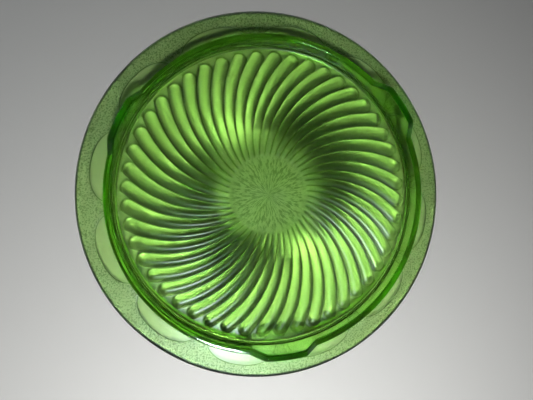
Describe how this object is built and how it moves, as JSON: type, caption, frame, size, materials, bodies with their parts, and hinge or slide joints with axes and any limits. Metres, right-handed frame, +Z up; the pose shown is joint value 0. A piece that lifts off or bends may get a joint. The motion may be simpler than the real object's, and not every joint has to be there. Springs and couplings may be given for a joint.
{
  "type": "footed cake plate",
  "caption": "Round footed plate of green uranium glass lying face down, with a swirled fluted back, a foot ring with raised feet and a stippled petal flange.",
  "frame": {"origin": "on the plate's axis, in the plane that the rim rests on, with the plate lying face down", "axes": "+Z up along the plate's axis, away from the serving face and towards the feet; +X and +Y are level, and the foot called foot_1 stands 34.5 degrees from +X towards +Y"},
  "size_m": [0.254, 0.254, 0.0292],
  "materials": {
    "clear_green_glass": "clear yellow-green uranium glass, fire polished",
    "stippled_green_glass": "the same glass with a finely stippled surface"
  },
  "bodies": {
    "root": {"plate_floor": "clear_green_glass", "swirl_flutes": "clear_green_glass", "centre_disc": "clear_green_glass", "ring_wall": "clear_green_glass", "foot_1": "clear_green_glass", "foot_2": "clear_green_glass", "foot_3": "clear_green_glass", "stippled_flange": "stippled_green_glass", "rim_lip": "clear_green_glass", "petal_lines": "stippled_green_glass"}
  },
  "joints": []
}
